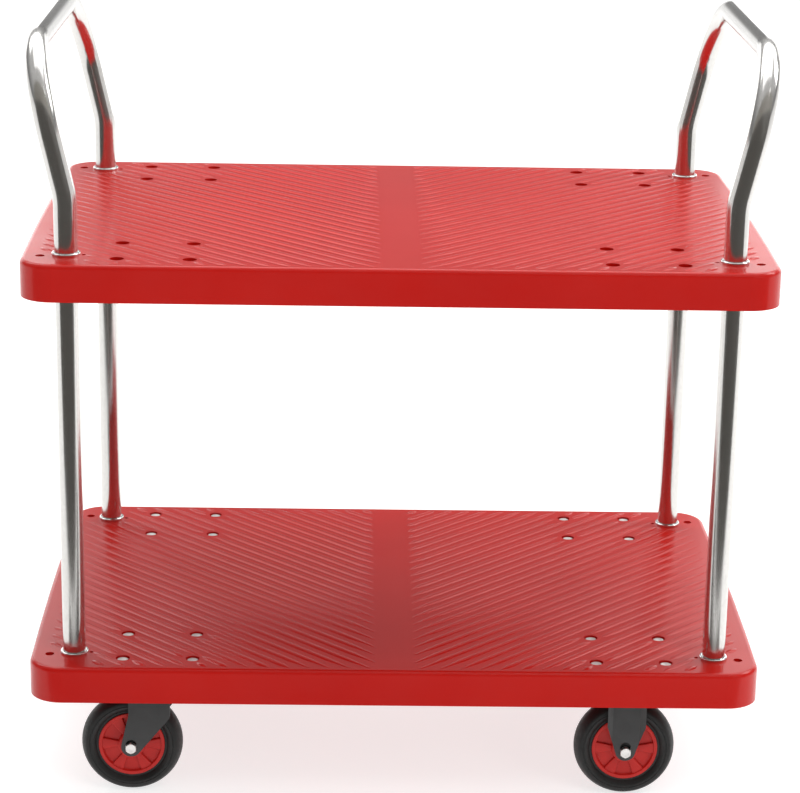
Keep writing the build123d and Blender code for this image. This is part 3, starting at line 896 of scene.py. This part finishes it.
# %% Caster bolts and nuts under the lower deck
bolt_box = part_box("caster_bolts")
seat = bolt_box[1].z - HEAD_HEIGHT
nut_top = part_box("caster_nuts")[1].z
spin = [(0.0, 0.0, radians(17 * k % 60)) for k in range(len(RECESSES))]
grown = set_out(
    hardware("bolt", bolt_loops(seat - bolt_box[0].z)),
    [(x, y, seat) for x, y in RECESSES],
    FINISHES["zinc_steel"],
    spin,
)
add_piece("caster_hex_bolts", grown, "zinc_steel", "frame", "caster_bolts")
grown = set_out(
    hardware("nut", nut_loops(), closed=True),
    [(x, y, nut_top) for x, y in RECESSES],
    FINISHES["zinc_steel"],
    spin[::-1],
)
add_piece("caster_hex_nuts", grown, "zinc_steel", "frame", "caster_nuts")

# %% [markdown]
# ## Forks and brackets
# The casters' forks and brackets are pressed from 3 mm plate, so their outlines are crisp
# but never knife-sharp. Their shape is already in the CAD. A copy of each CAD mesh has its
# loose triangles merged and its flat areas joined into single faces, and then a bevel
# rounds every edge by half a millimetre, as the press and the paint do.


# %% A softened copy of a CAD piece
SAME_POINT = 0.002 * MM
FLAT_WITHIN = radians(0.6)
EDGE_FROM = radians(28.0)


def softened_copy(node, radius, segments=2):
    """A copy of a CAD piece's mesh with its flat areas joined and its edges rounded."""
    bm = bmesh.new()
    bm.from_mesh(frame["nodes"][node].data)
    bmesh.ops.remove_doubles(bm, verts=bm.verts, dist=SAME_POINT)
    bmesh.ops.dissolve_degenerate(bm, edges=bm.edges, dist=SAME_POINT)
    bmesh.ops.dissolve_limit(
        bm,
        angle_limit=FLAT_WITHIN,
        verts=bm.verts,
        edges=bm.edges,
        use_dissolve_boundaries=False,
    )
    edges = [
        edge
        for edge in bm.edges
        if len(edge.link_faces) == 2 and edge.calc_face_angle(0.0) > EDGE_FROM
    ]
    bmesh.ops.bevel(
        bm,
        geom=edges,
        offset=radius,
        segments=segments,
        profile=0.5,
        affect="EDGES",
        clamp_overlap=True,
        offset_type="OFFSET",
    )
    return mesh_of(node + "_soft", bm)


def weigh_normals(piece):
    """Let the large flat faces set the shading, so that only the bevels look rounded."""
    modifier = piece.modifiers.new("weighted_normals", "WEIGHTED_NORMAL")
    modifier.keep_sharp = True
    modifier.weight = 100
    return piece


# %% Forks, brackets and plates
FORK_EDGE = 0.5 * MM
PLATE_EDGE = 0.4 * MM


def add_pressing(name, node, radius, body):
    """Add a softened copy of a pressed CAD piece."""
    weigh_normals(add_piece(name, softened_copy(node, radius), "grey_paint", body, node))


for corner, (side, front) in CORNERS.items():
    if side < 0:
        fork, plate = "swivel_fork_" + corner, "swivel_plate_" + corner
        add_pressing("swivel_fork_plate_" + corner, fork, FORK_EDGE, "swivel_" + corner)
        add_pressing("swivel_top_plate_" + corner, plate, PLATE_EDGE, "frame")
    else:
        bracket = "rigid_bracket_" + corner
        add_pressing("rigid_bracket_plate_" + corner, bracket, FORK_EDGE, "frame")

# %% [markdown]
# ## Wheels
# A solid rubber tyre is pressed onto a moulded red centre. Both are round about the axle,
# so they are turned on the lathe: the tyre with a crowned tread, soft shoulders, a fine
# ring on each side wall and a groove beside the rim, and the centre with a rim, a web and
# a core. Six broad spokes stand on the web on both sides, set out round the axle by the
# same tree that repeats the bolts.

# %% Sizes of a wheel
WHEEL_RADIUS = 63.5 * MM
TYRE_HALF = 17 * MM
SHOULDER = 57 * MM
BEAD_HALF = 12 * MM
BEAD_TOP = 44.5 * MM
TREAD_STEPS = 12
TYRE_STEPS, CENTRE_STEPS = 128, 96
RIM_RADIUS = 41.5 * MM
RIM_INNER = 37 * MM
RIM_HALF = 14 * MM
WEB_HALF = 9.5 * MM
CORE_RADIUS = 16 * MM
CORE_HALF = 18.5 * MM
BUSH_RADIUS = 9 * MM
SPOKE_HALF = 12.5 * MM
SPOKE_COUNT = 6
SPOKE_SPREAD = tan(radians(12))


# %% The tyre
def tyre_outline():
    """Half of the tyre's outline from the bore to the middle of the tread, then mirrored."""
    rise = WHEEL_RADIUS - SHOULDER
    crown = (TYRE_HALF**2 + rise**2) / (2 * rise)
    reach = asin(TYRE_HALF / crown)
    side = [
        (RIM_RADIUS, BEAD_HALF),
        (BEAD_TOP, BEAD_HALF),
        (BEAD_TOP + 1.2 * MM, BEAD_HALF + 1.6 * MM),
        (BEAD_TOP + 4.4 * MM, TYRE_HALF - 0.5 * MM),
        (BEAD_TOP + 5.6 * MM, TYRE_HALF - 0.1 * MM),
        (51.4 * MM, TYRE_HALF),
        (51.9 * MM, TYRE_HALF - 0.5 * MM),
        (52.6 * MM, TYRE_HALF - 0.5 * MM),
        (53.1 * MM, TYRE_HALF),
        (56.2 * MM, TYRE_HALF - 0.05 * MM),
        (57.2 * MM, TYRE_HALF - 0.5 * MM),
    ]
    tread = []
    for step in range(2, TREAD_STEPS + 1):
        angle = reach * (1 - step / TREAD_STEPS)
        tread.append((WHEEL_RADIUS - crown * (1 - cos(angle)), crown * sin(angle)))
    half = side + tread
    return half + [(r, -z) for r, z in reversed(half[:-1])]


def wheel_place(corner):
    """Axle along Y, with the outer face of the wheel towards the outside of the truck."""
    outward = CORNERS[corner][1]
    return Matrix.Translation(AXLES[corner]) @ Matrix.Rotation(-outward * pi / 2, 4, "X")


for corner in CORNERS:
    bm = bmesh.new()
    turn_on_lathe(bm, tyre_outline(), wheel_place(corner), steps=TYRE_STEPS)
    add_piece(
        "rubber_tyre_" + corner,
        mesh_of("tyre", bm),
        "tyre_rubber",
        "wheel_" + corner,
        "tyre_" + corner,
    )


# %% The wheel centre
def hub_outline():
    """Closed outline of the core, the web and the rim."""
    half = [
        (BUSH_RADIUS, CORE_HALF, 0.3 * MM),
        (CORE_RADIUS, CORE_HALF, 1.2 * MM),
        (CORE_RADIUS + 0.8 * MM, WEB_HALF, 1.5 * MM),
        (RIM_INNER - 0.6 * MM, WEB_HALF, 1.5 * MM),
        (RIM_INNER, RIM_HALF, 0.6 * MM),
        (RIM_RADIUS, RIM_HALF, 0.8 * MM),
    ]
    return rounded(half + [(r, -z, f) for r, z, f in reversed(half)], 3)


def spoke_mesh():
    """A wedge from the core to the rim, softened along its edges, that lies along X."""
    low, high = CORE_RADIUS - 1.5 * MM, RIM_RADIUS - 2.2 * MM
    flat = [(low, -low), (high, -high), (high, high), (low, low)]
    bm = bmesh.new()
    for z in (-SPOKE_HALF, SPOKE_HALF):
        for x, y in flat:
            bm.verts.new((x, y * SPOKE_SPREAD, z))
    bm.verts.ensure_lookup_table()
    v = bm.verts
    sides = [(k, (k + 1) % 4, (k + 1) % 4 + 4, k + 4) for k in range(4)]
    for quad in [(0, 1, 2, 3), (4, 5, 6, 7)] + sides:
        bm.faces.new([v[k] for k in quad])
    bmesh.ops.recalc_face_normals(bm, faces=bm.faces)
    long_edges = [e for e in bm.edges if abs(e.verts[0].co.x - e.verts[1].co.x) > 1 * MM]
    bmesh.ops.bevel(
        bm, geom=long_edges, offset=1.1 * MM, segments=3, profile=0.5, affect="EDGES"
    )
    return mesh_of("spoke", bm)


SPOKES = set_out(
    spoke_mesh(),
    [(0.0, 0.0, 0.0)] * SPOKE_COUNT,
    FINISHES["hub_plastic"],
    [(0.0, 0.0, 2 * pi * k / SPOKE_COUNT) for k in range(SPOKE_COUNT)],
)
for corner in CORNERS:
    bm = bmesh.new()
    bm.from_mesh(SPOKES)
    bmesh.ops.transform(bm, matrix=wheel_place(corner), verts=bm.verts)
    turn_on_lathe(bm, hub_outline(), wheel_place(corner), steps=CENTRE_STEPS)
    add_piece(
        "wheel_centre_" + corner,
        mesh_of("hub", bm),
        "hub_plastic",
        "wheel_" + corner,
        "wheel_hub_" + corner,
    )

# %% [markdown]
# ## Axle bolts
# A bolt runs through each fork or bracket, with its head outwards and a nut inside. They
# use the same loops as the caster bolts, laid along Y.

# %% Bolts and nuts on the axles
for corner, (side, front) in CORNERS.items():
    body = "swivel_" + corner if side < 0 else "frame"
    low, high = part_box("axle_bolt_" + corner)
    head_face = high.y if front > 0 else low.y
    seat_y = head_face - front * HEAD_HEIGHT
    lie = Matrix.Rotation(-front * pi / 2, 4, "X")
    place = Matrix.Translation((AXLES[corner].x, seat_y, AXLES[corner].z)) @ lie
    add_piece(
        "axle_hex_bolt_" + corner,
        hardware("axle_bolt", bolt_loops(high.y - low.y - HEAD_HEIGHT), place),
        "zinc_steel",
        body,
        "axle_bolt_" + corner,
    )
    nut_low, nut_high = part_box("axle_nut_" + corner)
    nut_y = nut_low.y if front > 0 else nut_high.y
    nut_y += front * (nut_high.y - nut_low.y)
    place = Matrix.Translation((AXLES[corner].x, nut_y, AXLES[corner].z)) @ lie
    add_piece(
        "axle_hex_nut_" + corner,
        hardware("axle_nut", nut_loops(), place, closed=True),
        "zinc_steel",
        body,
        "axle_nut_" + corner,
    )

# %% [markdown]
# ## Floor, light and camera
# The truck stands on a plain pale floor that runs out of sight, under large soft lights.
# The floor glows a little, like a lit paper sweep, which keeps it white without lights so
# strong that they would wash out the red. Polished tube shows only what is around it, so it
# would look flat in an even white room. Three dark cards, which only reflections see, give
# it the dark streak that makes metal read as metal, and keep the decks' fronts a deep red.


# %% The floor
FLOOR_REACH = 40.0


def pale_floor():
    """A wide plane at z = 0 that glows a little."""
    material = finish_of(
        "pale_floor",
        (0.44, 0.44, 0.435),
        (0.48, 0.48, 0.475),
        (0.60, 0.75),
        (3, 0.0001),
        (60, 0.00002),
        drift=0.7,
        Emission_Color=(1.0, 1.0, 1.0, 1.0),
        Emission_Strength=0.72,
    )
    mesh = bpy.data.meshes.new("floor")
    signs = ((-1, -1), (1, -1), (1, 1), (-1, 1))
    corners = [(x * FLOOR_REACH, y * FLOOR_REACH, 0) for x, y in signs]
    mesh.from_pydata(corners, [], [(0, 1, 2, 3)])
    mesh.materials.append(material)
    floor = bpy.data.objects.new("floor", mesh)
    SCENE.collection.objects.link(floor)
    return floor


pale_floor()
print("floor reaches", FLOOR_REACH, "m each way")


# %% Soft lights
def soft_light(name, place, target, size, power):
    """A rectangular light at a place, aimed at a target; the size is in metres."""
    lamp = bpy.data.lights.new(name, "AREA")
    lamp.shape = "RECTANGLE"
    lamp.size, lamp.size_y = size
    lamp.energy = power
    light = bpy.data.objects.new(name, lamp)
    light.location = place
    aim = Vector(target) - Vector(place)
    light.rotation_euler = aim.to_track_quat("-Z", "Y").to_euler()
    SCENE.collection.objects.link(light)
    return light


soft_light("overhead", (0.0, 0.4, 3.6), (0, 0, 0.4), (3.4, 2.4), 34)
soft_light("side_right", (2.6, 0.5, 2.6), (0, 0, 0.5), (0.9, 1.4), 30)
soft_light("front_high", (1.1, -2.4, 3.4), (0.2, 0, 0.4), (2.0, 1.0), 26)
soft_light("front_right", (2.4, -2.8, 1.8), (0, 0, 0.4), (1.0, 1.0), 14)
soft_light("back_left", (-2.6, 4.0, 1.6), (-2.6, 0.0, 1.6), (3.4, 2.2), 36)
soft_light("back_right", (2.7, 4.0, 1.6), (2.7, 0.0, 1.6), (3.4, 2.2), 36)
soft_light("behind", (0.0, 5.0, 7.0), (0, 5.0, 0.0), (14.0, 4.0), 550)


def soft_room():
    """A pale room: white at the horizon, dim just above it and bright overhead."""
    world = bpy.data.worlds.new("studio")
    world.use_nodes = True
    nodes = Nodes(world.node_tree)
    way = nodes.add("ShaderNodeTexCoord").outputs["Generated"]
    height = nodes.add("ShaderNodeSeparateXYZ", {"Vector": way}).outputs["Z"]
    horizon = remap(nodes, height, 0.80, 0.0, start=0.09, stop=0.15)
    ceiling = remap(nodes, height, 0.22, 0.60, start=0.25, stop=0.65)
    bright = nodes.add("ShaderNodeMath", {0: horizon, 1: ceiling}, operation="ADD").outputs[0]
    back = world.node_tree.nodes["Background"]
    back.inputs["Color"].default_value = (1.0, 1.0, 1.0, 1.0)
    world.node_tree.links.new(bright, back.inputs["Strength"])
    return world


SCENE.world = soft_room()
SCENE.view_settings.view_transform = "Standard"
print(len(bpy.data.lights), "lights")


# %% Dark cards for the polished tubes
def dark_card(name, corners, grey):
    """A dark card that only reflections see. The camera, shadows and soft light ignore it."""
    material = bpy.data.materials.new(name)
    material.use_nodes = True
    shader = material.node_tree.nodes["Principled BSDF"]
    shader.inputs["Base Color"].default_value = (grey, 0.96 * grey, 0.86 * grey, 1)
    shader.inputs["Roughness"].default_value = 0.9
    mesh = bpy.data.meshes.new(name)
    mesh.from_pydata(corners, [], [(0, 1, 2, 3)])
    mesh.materials.append(material)
    card = bpy.data.objects.new(name, mesh)
    SCENE.collection.objects.link(card)
    card.visible_camera = False
    card.visible_diffuse = False
    card.visible_shadow = False
    return card


def upright(y, low, high, half=2.5):
    """Corners of an upright card across the front of the truck."""
    return [(-half, y, low), (half, y, low), (half, y, high), (-half, y, high)]


def flat(near, far, z=0.004, half=0.8):
    """Corners of a card that lies just over the floor in front of the truck."""
    return [(-half, near, z), (half, near, z), (half, far, z), (-half, far, z)]


dark_card("card_front", upright(-0.95, 0.0, 1.35), 0.05)
dark_card("card_front_high", upright(-1.0, 1.3, 2.2), 0.16)
dark_card("card_floor", flat(-0.80, -0.55), 0.04)
print("three dark cards")

# %% The camera
CAMERA_PLACE = (-0.0588, -3.1990, 1.4168)
CAMERA_YAW = 0.0203
CAMERA_PITCH = 0.2929
CAMERA_ROLL = 0.0174
CAMERA_LENS = 115.14


def add_camera():
    """A camera at eye height in front of the truck, looking slightly down."""
    ahead = Vector(
        (
            sin(CAMERA_YAW) * cos(CAMERA_PITCH),
            cos(CAMERA_YAW) * cos(CAMERA_PITCH),
            -sin(CAMERA_PITCH),
        )
    )
    right = Vector((cos(CAMERA_YAW), -sin(CAMERA_YAW), 0))
    up = right.cross(ahead)
    level = cos(CAMERA_ROLL) * right + sin(CAMERA_ROLL) * up
    upright = cos(CAMERA_ROLL) * up - sin(CAMERA_ROLL) * right
    data = bpy.data.cameras.new("camera")
    data.lens = CAMERA_LENS
    data.sensor_width = 36.0
    data.clip_end = 200.0
    camera = bpy.data.objects.new("camera", data)
    turn = Matrix((level, upright, -ahead)).transposed().to_4x4()
    camera.matrix_world = Matrix.Translation(CAMERA_PLACE) @ turn
    SCENE.collection.objects.link(camera)
    SCENE.camera = camera


add_camera()
print("camera lens", CAMERA_LENS, "mm")
